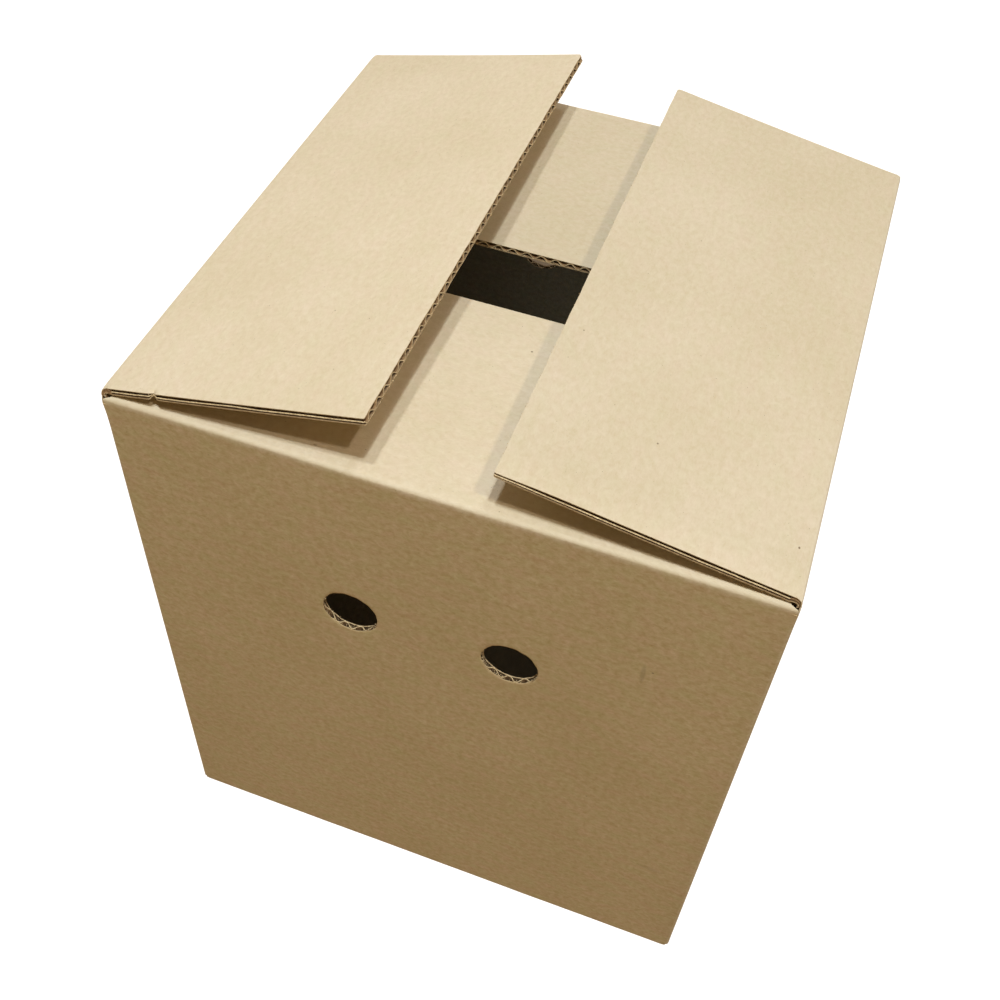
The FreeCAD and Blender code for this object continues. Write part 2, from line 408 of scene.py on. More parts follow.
# panel, sideways place, height on the blank, width, length and how dark
marks = [
    ("front", 0.0108, 0.4543, 0.0014, 0.0011, 0.85), ("right", -0.1025, 0.4321, 0.0012, 0.0010, 0.75),
    ("right", -0.0565, 0.4797, 0.0010, 0.0009, 0.70), ("right", -0.1257, 0.3650, 0.0015, 0.0011, 0.85),
    ("right", 0.0335, 0.4460, 0.0011, 0.0009, 0.30), ("back", 0.0300, 0.4120, 0.0014, 0.0011, 0.35),
    ("front", 0.1062, 0.2780, 0.0014, 0.0013, 0.60), ("front", 0.1021, 0.2750, 0.0028, 0.0180, 0.22),
    ("front", 0.1310, 0.0930, 0.0170, 0.0050, 0.12), ("front", 0.0890, 0.1480, 0.0013, 0.0011, 0.50),
    ("left", 0.0851, 0.4441, 0.0012, 0.0010, 0.40), ("front", -0.0573, 0.3595, 0.0024, 0.0009, 0.55),
]
blankStarts = {name: panel["blankStart"] for name, panel in panels.items()}
linerMaterial = makeKraftLiner("kraftLiner")
insideMaterial = makeKraftLiner("insideLiner", kraft["insideGreyAndShade"])
edgeMaterial = makeRawPaper("cutPaperEdge", cutPaper)
gluedShadeMaterial = makeRawPaper("gluedPaperShade", gluedPaperShade)
mediumMaterial = makeRawPaper("flutedMedium", mediumPaperWithShade)
print("materials ready")


def wander(values, seed):  # slow, small and repeatable unevenness between -1 and 1
    slow = np.sin(values * 41 + seed)
    middling = 0.7 * np.sin(values * 97 + 2.3 * seed)
    return (slow + middling + 0.4 * np.sin(values * 231 + 4.1 * seed)) / 2.1


def inSpace(panel, outward, side, upward):
    flat = outward[..., None] * panel["normal"] + side[..., None] * panel["heading"]
    return flat + upward[..., None] * up


def foldedPlace(name, side, height, depth):
    # side: place along the panel; height: along the blank, on past either fold
    panel = panels[name]
    side, height, depth = np.broadcast_arrays(side, height, depth)
    bottomStart = panel["bottomStart"]
    isEnd = name in ("front", "back")
    topShare = np.clip((height - topStart) / (foldSpace * turnTop), 0, 1) if isEnd else np.zeros(side.shape)
    bottomShare = np.clip((bottomStart - height) / (foldSpace * math.pi / 2), 0, 1)
    rise = np.clip(height, bottomStart, topStart if isEnd else rimTop)
    if not isEnd:  # a side panel is crushed beside its crease
        depth = depth * (1 - crushShare * rampTo(height, rimTop, outerFlaps["crushLength"]))

    # the corners get tighter towards the top, so the flat part widens there
    low, high = flatLow(name, depth), flatHigh(name, depth)
    widening = cornerAt(depth) - cornerAt(depth, height)
    lowWidening = widening * (name != "left")
    nearHigh = rampTo(side, high, carton["wideningReach"])
    nearLow = rampTo(-side, -low, carton["wideningReach"])
    side = side + widening * nearHigh - lowWidening * nearLow
    low, high = low - lowWidening, high + widening

    # the flap ends are a little narrower or wider than the flat part of the panel
    toTop = np.clip((height - topStart - carton["endsFrom"]) / carton["endsOver"][0], 0, 1)
    toBottom = np.clip((bottomStart - height) / carton["endsOver"][1], 0, 1)
    share = np.clip((side - low) / (high - low), 0, 1)
    topSide = -panel["topFlap"] + 2 * panel["topFlap"] * share
    bottomSide = -panel["bottomFlap"] + 2 * panel["bottomFlap"] * share
    side = side + (topSide - side) * toTop + (bottomSide - side) * toBottom

    onWall = np.sin(math.pi * np.clip((height - bottomStart) / (topStart - bottomStart), 0, 1))
    bow = carton["panelBow"] * onWall * np.cos(math.pi / 2 * np.clip(side / panel["reach"], -1, 1))
    bow = bow * (1 + 0.25 * wander(side + height * 0.6, 1.0))

    # a short straight, the round part, and a short straight again
    done = topShare + bottomShare
    fullTurn = np.where(bottomShare > 0, math.pi / 2, turnTop)
    turn = fullTurn * np.clip((done - turnStart) / (1 - 2 * turnStart), 0, 1)
    radius = between(board["foldRadius"], depth)
    straight = np.maximum(foldSpace - depth - radius, 0) * np.tan(fullTurn / 2) * (done > 0)
    before = straight * np.clip(done / turnStart, 0, 1)
    after = straight * np.clip((done - 1) / turnStart + 1, 0, 1)
    easing = carton["foldWander"] * np.sin(2 * np.clip(turn, 0, math.pi / 2)) * (1 + wander(side, 2.0)) / 2
    topRun = np.maximum(height - topFold, 0) if isEnd else np.zeros(side.shape)
    atFree = rampTo(topRun, flapRun, carton["bevelReach"])
    topRun = topRun - carton["freeBevel"] * (1 - depth / thickness) * atFree
    bottomRun = np.maximum(panel["bottomFold"] - height, 0)
    onward = after + topRun + bottomRun
    vertical = np.where(bottomShare > 0, -1.0, 1.0)
    curve = radius - easing
    outward = panel["reach"] - depth - radius - bow + curve * np.cos(turn) - onward * np.sin(turn)
    upward = rise + vertical * (before + curve * np.sin(turn) + onward * np.cos(turn))
    return inSpace(panel, outward, side, upward)


def foldWearAndHighlight(name, height):  # 1 along the middle of a fold or crease, 0 away from it: where the rubbed paper and painted highlight go
    isEnd = name in ("front", "back")
    top = (topStart + topFold) / 2 if isEnd else rimTop + carton["creaseWearAndHighlight"]
    bottom = panels[name]["bottomStart"] - foldSpace * math.pi / 4
    gap = np.minimum(np.abs(height - top), np.abs(height - bottom))
    return np.exp(-(gap / carton["wearAndHighlightWidth"]) ** 2)


def steps(low, high, step, extra=()):
    count = max(2, int(round((high - low) / step)) + 1)
    values = list(np.linspace(low, high, count)) + [e for e in extra if low - 1e-9 <= e <= high + 1e-9]
    values = sorted(values)
    kept = [values[0]]
    for value in values[1:]:
        if value - kept[-1] > meshing["apart"]:
            kept.append(value)
    kept[-1] = high
    return np.array(kept)


def newSheet():
    return {"points": [], "places": [], "wearAndHighlight": [], "faces": []}


def addGrid(sheet, points, places, skip=None, wearAndHighlight=0.0):
    # places: across, height and depth on the flat blank
    rows, columns = points.shape[:2]
    places = np.stack(np.broadcast_arrays(*places, points[..., 0])[:3], -1)
    first = len(sheet["points"])
    sheet["points"] += [tuple(p) for p in points.reshape(-1, 3)]
    sheet["places"] += [tuple(p) for p in places.reshape(-1, 3)]
    sheet["wearAndHighlight"] += list(np.broadcast_to(wearAndHighlight, (rows, columns)).ravel())
    for r in range(rows - 1):
        for c in range(columns - 1):
            if skip is not None and skip[r, c]:
                continue
            a = first + r * columns + c
            sheet["faces"].append((a, a + 1, a + columns + 1, a + columns))


def newPiece(name, data):
    piece = bpy.data.objects.new(name, data)
    scene.collection.objects.link(piece)
    return piece


def setMaterials(mesh, materials, index=0):
    mesh.materials.clear()
    for material in materials:
        mesh.materials.append(material)
    for face in mesh.polygons:
        face.material_index = index


def plainMesh(piece):  # modifiers become plain mesh
    bpy.context.view_layer.update()
    graph = bpy.context.evaluated_depsgraph_get()
    mesh = bpy.data.meshes.new_from_object(piece.evaluated_get(graph))
    piece.modifiers.clear()
    piece.data = mesh
    return mesh


def settled(piece):  # the same, with its sharp edges marked
    mesh = plainMesh(piece)
    mesh.name = piece.name
    work = bmesh.new()
    work.from_mesh(mesh)
    for edge in work.edges:
        if len(edge.link_faces) == 2 and edge.calc_face_angle(0) > meshing["sharpAngle"]:
            edge.smooth = False
    work.to_mesh(mesh)
    work.free()
    return piece


def sheetObject(name, sheet, wall, faceIn=False):
    mesh = bpy.data.meshes.new(name)
    faces = [f[::-1] for f in sheet["faces"]] if faceIn else sheet["faces"]
    mesh.from_pydata(sheet["points"], [], faces)
    layer = mesh.attributes.new("blankPlace", "FLOAT_VECTOR", "POINT")
    layer.data.foreach_set("vector", np.array(sheet["places"], np.float32).ravel())
    layer = mesh.attributes.new("foldWearAndHighlight", "FLOAT", "POINT")
    layer.data.foreach_set("value", np.array(sheet["wearAndHighlight"], np.float32))
    work = bmesh.new()
    work.from_mesh(mesh)
    bmesh.ops.remove_doubles(work, verts=work.verts, dist=meshing["weld"])
    work.to_mesh(mesh)
    work.free()
    setMaterials(mesh, (insideMaterial if faceIn else linerMaterial, edgeMaterial, gluedShadeMaterial))
    mesh.shade_smooth()
    piece = newPiece(name, mesh)
    solid = piece.modifiers.new("wall", "SOLIDIFY")
    solid.thickness = wall
    solid.offset = -1
    solid.use_even_offset = False
    solid.material_offset = 2  # the side that is glued to the flutes, drawn dark as painted shade in the flute cavities
    solid.material_offset_rim = 1
    return settled(piece)


# ---- fluted medium: one wave sheet in Geometry Nodes, laid along any part of the blank

flutes = {
    "stepsPerFlute": 12,
    "phase": 0.25,
    "unevenness": 0.00032,
    "driftScale": 60.0,  # of the noise that makes them uneven, and how far it pushes them sideways
    "driftShare": 6.0,
    "crest": -0.06,  # a third wave that rounds the crests
    "heightShare": 0.53,
    "clearance": 0.00004,
}


def newTree(name, inputs):
    tree = bpy.data.node_groups.new(name, "GeometryNodeTree")
    for label, kind in inputs:
        tree.interface.new_socket(label, in_out="INPUT", socket_type="NodeSocket" + kind)
    tree.interface.new_socket("Geometry", in_out="OUTPUT", socket_type="NodeSocketGeometry")
    return tree, tree.nodes.new("NodeGroupInput").outputs


def finishTree(tree, geometry, material):
    real = addNode(tree, "GeometryNodeRealizeInstances", {0: geometry}).outputs[0]
    finish = addNode(tree, "GeometryNodeSetMaterial", {"Geometry": real, "Material": material})
    addNode(tree, "NodeGroupOutput", {0: finish.outputs[0]})
    return tree


def addMaker(piece, label, tree, values):
    maker = piece.modifiers.new(label, "NODES")
    maker.node_group = tree
    for socket in tree.interface.items_tree:
        if socket.in_out == "INPUT" and socket.name in values:
            maker[socket.identifier] = values[socket.name]


def makeFluteTree():
    tree, given = newTree("flutedSheet", (
        ("Run", "Float"), ("Span", "Float"), ("Rows", "Int"), ("Columns", "Int"), ("Pitch", "Float"),
        ("Height", "Float"), ("Phase", "Float"), ("Unevenness", "Float"), ("Seed", "Int"),
        ("Material", "Material")))
    sizes = {0: given["Run"], 1: given["Span"], 2: given["Rows"], 3: given["Columns"]}
    grid = addNode(tree, "GeometryNodeMeshGrid", sizes).outputs["Mesh"]
    place = addNode(tree, "GeometryNodeInputPosition").outputs[0]
    along = addNode(tree, "ShaderNodeSeparateXYZ", {0: place}).outputs["Y"]
    values = {"Scale": flutes["driftScale"], "W": mathOf(tree, "MULTIPLY", given["Seed"], 3.7)}
    roll = addNode(tree, "ShaderNodeTexNoise", values, noise_dimensions="4D").outputs["Fac"]
    drift = mathOf(tree, "MULTIPLY", mathOf(tree, "SUBTRACT", roll, 0.5), given["Unevenness"])
    pushed = mathOf(tree, "ADD", along, mathOf(tree, "MULTIPLY", drift, flutes["driftShare"]))
    turns = mathOf(tree, "DIVIDE", pushed, given["Pitch"])
    angle = mathOf(tree, "MULTIPLY", mathOf(tree, "ADD", turns, given["Phase"]), 2 * math.pi)
    third = mathOf(tree, "COSINE", mathOf(tree, "MULTIPLY", angle, 3.0))
    crest = mathOf(tree, "MULTIPLY", third, flutes["crest"])
    rounded = mathOf(tree, "ADD", mathOf(tree, "COSINE", angle), crest)
    half = mathOf(tree, "MULTIPLY", given["Height"], flutes["heightShare"])
    height = mathOf(tree, "MULTIPLY", rounded, half)
    offset = addNode(tree, "ShaderNodeCombineXYZ", {"Z": height}).outputs[0]
    shape = addNode(tree, "GeometryNodeSetPosition", {"Geometry": grid, "Offset": offset})
    return finishTree(tree, shape.outputs[0], given["Material"])


fluteTree = makeFluteTree()


def fluteSheet(name, side, rows, place, seed, cutter=None, phase=flutes["phase"]):
    # side: (low, high) across the flutes; rows: places along them; place(side, run, depth)
    span, rows = side[1] - side[0], np.array(rows)
    columns = int(round(span / board["flutePitch"] * flutes["stepsPerFlute"])) + 1
    piece = newPiece(name, bpy.data.meshes.new(name))
    middle = (side[0] + side[1]) / 2
    values = {"Run": 1.0, "Span": span, "Rows": len(rows), "Columns": columns, "Pitch": board["flutePitch"],
              "Height": thickness - 2 * board["liner"] - board["medium"] - flutes["clearance"],
              "Phase": phase + middle / board["flutePitch"],
              "Unevenness": flutes["unevenness"], "Seed": seed, "Material": mediumMaterial}
    addMaker(piece, "flutes", fluteTree, values)
    setMaterials(plainMesh(piece), (mediumMaterial, edgeMaterial))
    solid = piece.modifiers.new("wall", "SOLIDIFY")
    solid.thickness = board["medium"]
    solid.offset = 0
    solid.material_offset_rim = 1
    mesh = plainMesh(piece)
    flat = np.zeros(len(mesh.vertices) * 3, np.float32)
    mesh.vertices.foreach_get("co", flat)
    flat = flat.reshape(-1, 3).astype(float)
    run = np.interp((flat[:, 0] + 0.5) * (len(rows) - 1), np.arange(len(rows)), rows)
    points = place(flat[:, 1] + middle, run, thickness / 2 - flat[:, 2])
    mesh.vertices.foreach_set("co", points.astype(np.float32).ravel())
    mesh.update()
    mesh.shade_smooth()
    if cutter:
        cut = piece.modifiers.new("hole", "BOOLEAN")
        cut.object = cutter
        cut.solver = "EXACT"
    return settled(piece)


def foldRows(first, last):  # closer rows in the round part of a fold
    shares = np.concatenate([[0], np.linspace(turnStart, 1 - turnStart, 10), [1]])
    return first + (last - first) * shares


def nearEdge(low, high):  # closer rows beside a cut edge
    insets = (0, 0.0006, 0.0015, 0.003)
    return [low + inset for inset in insets] + [high - inset for inset in insets[::-1]]


def pressed(side, run, depth, sides, ends):
    # a cut edge is pressed together a little
    gap = np.minimum(np.abs(side - sides[0]), np.abs(side - sides[1]))
    for end in ends:
        gap = np.minimum(gap, np.abs(run - end))
    crush = board["edgeCrush"] * np.exp(-(gap / board["crushReach"]) ** 2)
    return thickness / 2 + (depth - thickness / 2) * (1 - crush)


# ---- the carton body

holePatch = {
    "reach": 0.020,
    "count": 16,
    "slack": 0.0001,
    "rings": (0.0, 0.3, 0.6, 0.85, 0.97, 1.0),  # from the square to the rim
    "dips": (0, 0, 0, 0, 0.03, 0.10),  # how far the knife pressed the paper in, per ring
    "mediumReach": 0.008,  # beyond the rim
}
holeCentres = (-carton["holeSpacing"] / 2, carton["holeSpacing"] / 2)


def holeSteps(centre):  # grid lines round a vent hole
    reach, step = holePatch["reach"], 2 * holePatch["reach"] / holePatch["count"]
    return list(np.arange(centre - reach, centre + reach + holePatch["slack"], step))


def inPatch(lines, centre):  # which grid cells a vent hole's patch takes the place of
    reach, slack = holePatch["reach"], holePatch["slack"]
    return (lines[:-1] > centre - reach - slack) & (lines[:-1] < centre + reach - slack)


def wallRows():
    return steps(2 * foldSpace, topStart, meshing["wall"],
                 holeSteps(carton["holeHeight"]) + [foldSpace + thickness, foldSpace])


def wallColumns(name, depth):
    low, high = flatLow(name, depth), flatHigh(name, depth)
    extra = []
    if name in ("front", "back"):
        for centre in holeCentres:
            extra += holeSteps(centre)
    return steps(low, high, meshing["wall"], extra + nearEdge(low, high))


def onGrid(name, sheet, side, height, depth, skip=None, press=None):
    sides, heights = np.meshgrid(side, height)
    depths = np.full(sides.shape, depth)
    if press:
        depths = pressed(sides, heights, depths, (side[0], side[-1]), press)
    places = (sides + panels[name]["blankStart"], heights, depths)
    addGrid(sheet, foldedPlace(name, sides, heights, depths), places, skip, foldWearAndHighlight(name, heights))


def addHole(name, sheet, centre, depth, seed):
    # polar patch from the square left in the grid to the ragged rim
    reach, hole, count = holePatch["reach"], carton["holeHeight"], holePatch["count"]
    edge = np.linspace(-reach, reach, count + 1)[:-1]
    square = ([(x, -reach) for x in edge] + [(reach, y) for y in edge]
              + [(-x, reach) for x in edge] + [(-reach, -y) for y in edge])
    square.append(square[0])
    rings = []
    for share in holePatch["rings"]:
        ring = []
        for x, y in square:
            angle = math.atan2(y, x)
            rough = noise.noise(Vector((math.cos(angle) * 4, math.sin(angle) * 4, seed)))
            rough += 0.6 * noise.noise(Vector((math.cos(angle) * 11, math.sin(angle) * 11, seed + 5)))
            radius = carton["holeDiameter"] / 2 + rough * carton["rimRaggedness"]
            rimX, rimY = radius * math.cos(angle), radius * math.sin(angle)
            ring.append((x + (rimX - x) * share, y + (rimY - y) * share))
        rings.append(ring)
    rings = np.array(rings)
    side, height = rings[..., 0] + centre, rings[..., 1] + hole
    dip = np.array(holePatch["dips"])[:, None] * (thickness / 2 - depth)
    depths = depth + np.broadcast_to(dip, side.shape)
    places = (side + panels[name]["blankStart"], height, depths)
    addGrid(sheet, foldedPlace(name, side, height, depths), places)


def cartonSheet(depth, seed):
    sheet = newSheet()
    rows = wallRows()
    for name in panels:
        columns = wallColumns(name, depth)
        isEnd = name in ("front", "back")
        skip = np.zeros((len(rows), len(columns)), bool)
        if isEnd:
            for centre in holeCentres:
                taken = inPatch(rows, carton["holeHeight"])[:, None] & inPatch(columns, centre)[None, :]
                skip[:-1, :-1] |= taken
                addHole(name, sheet, centre, depth, seed + centre * 100)
        onGrid(name, sheet, columns, rows, depth, skip)
        bottomStart = panels[name]["bottomStart"]
        onGrid(name, sheet, columns, steps(bottomStart, rows[0], meshing["foot"]), depth)
        if isEnd:
            beyond = steps(topFold, topEnd, meshing["flap"], nearEdge(topFold, topEnd)[1:])[1:]
            top = np.concatenate([foldRows(topStart, topFold), beyond])
            onGrid(name, sheet, columns, top, depth, press=[topEnd])
        else:
            inside = (depth / thickness) * carton["rimSlope"]
            onGrid(name, sheet, columns, np.linspace(topStart, rimTop - inside, 6), depth)
        fold, end = panels[name]["bottomFold"], panels[name]["bottomEnd"]
        beyond = steps(end, fold, meshing["flap"], nearEdge(end, fold)[:4])[:-1]
        bottom = np.concatenate([beyond, foldRows(fold, bottomStart)])
        onGrid(name, sheet, columns, bottom, depth, press=[end])
    addCorners(sheet, depth)
    return sheet


def addCorners(sheet, depth):
    rows = np.concatenate([steps(foldSpace, 2 * foldSpace, meshing["foot"])[:-1], wallRows(),
                           [topStart + 0.0012, topStart + 0.0024, rimTop - 0.0002]])
    for name, sideways in (("left", "front"), ("front", "right"), ("right", "back"), ("back", "left")):
        panel = panels[name]
        turns, heights = np.meshgrid(np.linspace(0, math.pi / 2, 8), rows)
        radius = cornerAt(depth, heights)
        outward = panel["reach"] - depth - radius + radius * np.cos(turns)
        onward = flatHigh(name, depth) + cornerAt(depth) - radius + radius * np.sin(turns)
        points = inSpace(panel, outward, onward, heights)
        end = name if name in ("front", "back") else sideways
        lean = carton["cornerLean"] * np.clip((heights - topStart) / (rimTop - topStart), 0, 1) ** 2
        points = points - lean[..., None] * panels[end]["normal"]
        start = panel["blankStart"] + flatHigh(name, depth)
        places = (start + turns * cornerAt(0), heights, depth)
        # the upright corners get the paler line too: rubbed paper and painted highlight
        addGrid(sheet, points, places, wearAndHighlight=0.6 * np.sin(2 * turns))
    # the lap beyond the last corner lies inside the left panel
    panel = panels["back"]
    across = np.linspace(0, carton["lapWidth"] - foldSpace, 6)
    share = np.linspace(0, 1, 30)
    sides, shares = np.meshgrid(across, share)
    low, high = 2 * thickness + carton["lapEndGap"], topStart - carton["lapEndGap"]
    taper = carton["lapTaper"] * sides / sides.max()
    heights = low + taper + (high - low - 2 * taper) * shares
    thin = 1 - carton["lapThickness"] / thickness
    scale = 1 - thin * np.clip(sides / carton["lapThinning"], 0, 1)
    outward = panel["reach"] - depth - cornerAt(depth) - sides
    points = inSpace(panel, outward, panel["high"] - depth * scale, heights)
    first = panel["blankStart"] + flatHigh("back", 0) + cornerArc
    addGrid(sheet, points, (first + sides, heights, depth))


outerLiner = sheetObject("cartonOuterLiner", cartonSheet(0.0, 1.0), board["liner"])
innerLiner = sheetObject("cartonInnerLiner", cartonSheet(thickness, 2.0), board["liner"], faceIn=True)
print("liners", len(outerLiner.data.polygons), len(innerLiner.data.polygons))

mediums = []


def addMedium(label, name, side, rows, seed, ends=None, cutter=None):
    # fluting in a panel or its flap; ends: where it is cut off, if its edges are pressed together
    def place(across, run, depth):
        if ends is not None:
            depth = pressed(across, run, depth, side, ends)
        return foldedPlace(name, across, run, depth)

    mediums.append(fluteSheet(label, side, rows, place, seed, cutter))


def flatSpan(name, more=0.0):  # the left panel's low end is its raw edge
    low, high = flatLow(name, thickness / 2), flatHigh(name, thickness / 2)
    return low - more * (name != "left"), high + more


for name in ("front", "back"):
    rows = np.concatenate([[topStart - foldSpace], foldRows(topStart, topFold),
                           steps(topFold, topEnd, meshing["mediumTop"])[1:]])
    addMedium(name + "FlapMedium", name, flatSpan(name), rows, 3, [topEnd])
for name, panel in panels.items():
    start, fold, end = panel["bottomStart"], panel["bottomFold"], panel["bottomEnd"]
    rows = np.concatenate([steps(end, fold, meshing["mediumBottom"])[:-1], foldRows(fold, start),
                           [start + foldSpace]])
    addMedium(name + "BottomMedium", name, flatSpan(name), rows, 4, [end])
for name in ("front", "back"):
    for index, centre in enumerate(holeCentres):
        place = (panels[name]["heading"][0] * centre, 0, carton["holeHeight"])
        radius = carton["holeDiameter"] / 2
        bpy.ops.mesh.primitive_cylinder_add(vertices=72, radius=radius, depth=3 * halfDepth,
                                            location=place, rotation=(math.pi / 2, 0, 0))
        cutter = bpy.context.object
        setMaterials(cutter.data, (mediumMaterial, edgeMaterial), 1)
        reach = radius + holePatch["mediumReach"]
        rows = carton["holeHeight"] + np.linspace(-reach, reach, 5)
        span = (centre - reach, centre + reach)
        addMedium(f"{name}RimMedium{index}", name, span, rows, 5, cutter=cutter)
        bpy.data.objects.remove(cutter)
for name in ("left", "right"):
    rows = [topStart - 0.012, topStart - 0.006, topStart, rimTop - 0.003, rimTop - 0.0015, rimTop - 0.0005]
    addMedium(name + "TopMedium", name, flatSpan(name, 0.001), rows, 8, [])
seamLow = flatLow("left", 0)
addMedium("jointEdgeMedium", "left", (seamLow, seamLow + carton["seamMedium"]), wallRows(), 6)

for piece in [outerLiner, innerLiner] + mediums:
    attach(piece, "carton")
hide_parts("carton_body")
print("carton body", len(mediums), "fluted pieces")

# ---- the outer flaps


def flapPlace(name, side, run, depth):
    # closed flap first, then swung up about its crease
    values, panel = outerFlaps[name], panels[name]
    hinge = hinges[values["body"]]
    axis = Vector(hinge["pos_m"])
    angle = math.radians(-hinge["range_deg"][0])  # from closed up to rest
    side, run, depth = np.broadcast_arrays(side, run, depth)
    atRoot = rampTo(-run, 0, outerFlaps["crushLength"])
    low = -outerFlaps["clearance"] - depth * (1 - crushShare * atRoot)
    atEdge = rampTo(np.abs(side), outerHalf, outerFlaps["bevelReach"][0])
    side = side - np.sign(side) * outerFlaps["edgeBevel"] * (1 - depth / thickness) * atEdge
    nick, soft = outerFlaps["nick"], outerFlaps["softCorner"]
    if name == nick["name"]:  # a small knock in the cut edge
        inward = outerHalf - side * nick["side"]
        knock = np.exp(-((run - nick["run"]) / nick["width"]) ** 2 - (inward / nick["reach"]) ** 2)
        side = side - nick["side"] * nick["depth"] * knock
        low = low + (-thickness * nick["meet"] - low) * nick["press"] * knock
    if name == soft["name"]:  # a free corner that is pressed soft
        inward = (outerHalf - side * soft["side"]) * soft["narrowing"]
        away = np.hypot(inward, outerLength - run) / soft["reach"]
        press = soft["press"] * np.exp(-away ** 2)
        low = low + (-thickness * soft["meet"] - low) * press
        side = side + soft["side"] * soft["spread"] * press * depth / thickness
    atFree = rampTo(run, outerLength, outerFlaps["bevelReach"][1])
    run = run - values["freeBevel"] * (1 - depth / thickness) * atFree
    share = np.clip(run / outerLength, 0, 1)
    uneven = (1 + wander(side * 0.5, values["seed"])) / 2
    low = low - outerFlaps["droop"] * (np.sin(math.pi * share) * 0.6 + 0.4 * share * uneven)
    across = run * math.cos(angle) - low * math.sin(angle)
    rise = run * math.sin(angle) + low * math.cos(angle)
    return inSpace(panel, abs(axis.x) - across, side, rise + axis.z)


def flapOutline(name, side, run):
    # draws the grid in at the rounded free corners
    isFront = side * panels[name]["heading"][1] < 0
    radius = np.where(isFront, outerFlaps["frontCorner"], outerFlaps["rearCorner"])
    edge = np.abs(side) - (outerHalf - radius)
    beyond = run - (outerLength - radius)
    inCorner = (edge > 0) & (beyond > 0)
    scale = np.maximum(edge, beyond) / np.maximum(np.hypot(edge, beyond), 1e-9)
    newSide = np.where(inCorner, np.sign(side) * (outerHalf - radius + edge * scale), side)
    newRun = np.where(inCorner, outerLength - radius + beyond * scale, run)
    return newSide, newRun


def edgePressed(side, run, depth):
    return pressed(side, run, depth, (-outerHalf, outerHalf), [outerLength])


def nearNick(step):
    return list(outerFlaps["nick"]["run"] + np.arange(-0.004, 0.0041, step))


def flapSheet(name, depth):
    sheet = newSheet()
    start = outerFlaps["rootStart"] if depth == 0 else outerFlaps["crushLength"]
    insets = np.array(meshing["outerFlapInsets"])
    tight = list(outerHalf - insets)
    across, onward = meshing["outerFlap"]
    columns = steps(-outerHalf, outerHalf, across, list(insets - outerHalf) + tight)
    rows = steps(start, outerLength, onward, [outerLength - outerHalf + t for t in tight] + nearNick(0.0008))
    sides, runs = flapOutline(name, *np.meshgrid(columns, rows))
    depths = edgePressed(sides, runs, np.full(sides.shape, depth))
    seed = outerFlaps[name]["seed"]
    atEnd = np.clip((runs - outerLength + outerFlaps["wanderReach"]) / outerFlaps["wanderReach"], 0, 1)
    runs = runs - atEnd * outerFlaps["edgeWander"] * (1 + wander(sides * 6, seed + depth * 900))
    places = (sides + panels[name]["blankStart"], runs + outerFlaps["blankStart"], depths)
    addGrid(sheet, flapPlace(name, sides, runs, depths), places)
    return sheet


for name in ("left", "right"):
    values = outerFlaps[name]

    def place(side, run, depth, name=name):
        side, run = flapOutline(name, side, run)
        return flapPlace(name, side, run, edgePressed(side, run, depth))

    top = sheetObject(name + "FlapOuterLiner", flapSheet(name, 0.0), board["liner"])
    under = sheetObject(name + "FlapInnerLiner", flapSheet(name, thickness), board["liner"], faceIn=True)
    rows = steps(outerFlaps["mediumStart"], outerLength - 0.00015, meshing["mediumTop"],
                 [outerLength - 0.002, outerLength - 0.001, outerLength - 0.0005] + nearNick(0.002))
    core = fluteSheet(name + "FlapMedium", (-outerHalf, outerHalf), rows, place, values["seed"],
                      phase=values["phase"])
    for piece in (top, under, core):
        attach(piece, values["body"])
    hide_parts(values["node"])
print("outer flaps ready")

# ---- the creases that the outer flaps turn on

crease = {
    "rows": 16,
    # depth, how closely the bend follows its corner, where it begins and where it meets the flap
    "layers": {
        "Outer": (0.0, 0.93, rimTop, outerFlaps["rootStart"]),
        "Core": (thickness / 2, 0.8, rimTop - 0.0006, 0.0047),
        "Inner": (thickness, 0.55, rimTop - 0.0007, outerFlaps["crushLength"]),
    },
    "coreThickness": 0.0005,
    "coreWave": 0.00022,
    "endPinch": 0.45,
    "pinchReach": 0.003,
    "endReach": 0.0006,  # a crease is a little longer than the flap's side edges
    "capShare": (0.15, 0.90),  # how much of the board's thickness the broken fluting fills
    "capInset": (0.0002, 0.0003, 0.0003),  # least, more at its middle, and unevenness
    "capWall": 0.0004,
}


def creasePoints(name, columns, depths, pull, begin, first):
    # smooth curves from the panel's direction to the flap's, drawn together at their ends
    panel = panels[name]
    t = np.linspace(0, 1, crease["rows"])[:, None, None]
    curves = []
    for layerDepth in (depths, np.full(len(columns), thickness / 2)):
        wall = layerDepth * outerFlaps["crushThickness"] / thickness
        a = inSpace(panel, panel["reach"] - wall, columns, np.full(len(columns), begin))
        d = flapPlace(name, columns, np.full(len(columns), first), layerDepth)
        corner = flapPlace(name, columns, np.zeros(len(columns)), layerDepth)
        b, c = a + (corner - a) * pull, d + (corner - d) * pull
        curves.append(a * (1 - t) ** 3 + 3 * b * t * (1 - t) ** 2 + 3 * c * t ** 2 * (1 - t) + d * t ** 3)
    atEnd = rampTo(np.abs(columns), outerHalf, crease["pinchReach"])[None, :, None]
    points = curves[0] + (curves[1] - curves[0]) * atEnd * np.sin(math.pi * t) * crease["endPinch"]
    return points + panel["heading"] * (columns * crease["endReach"] / outerHalf)[None, :, None] * (1 - t)


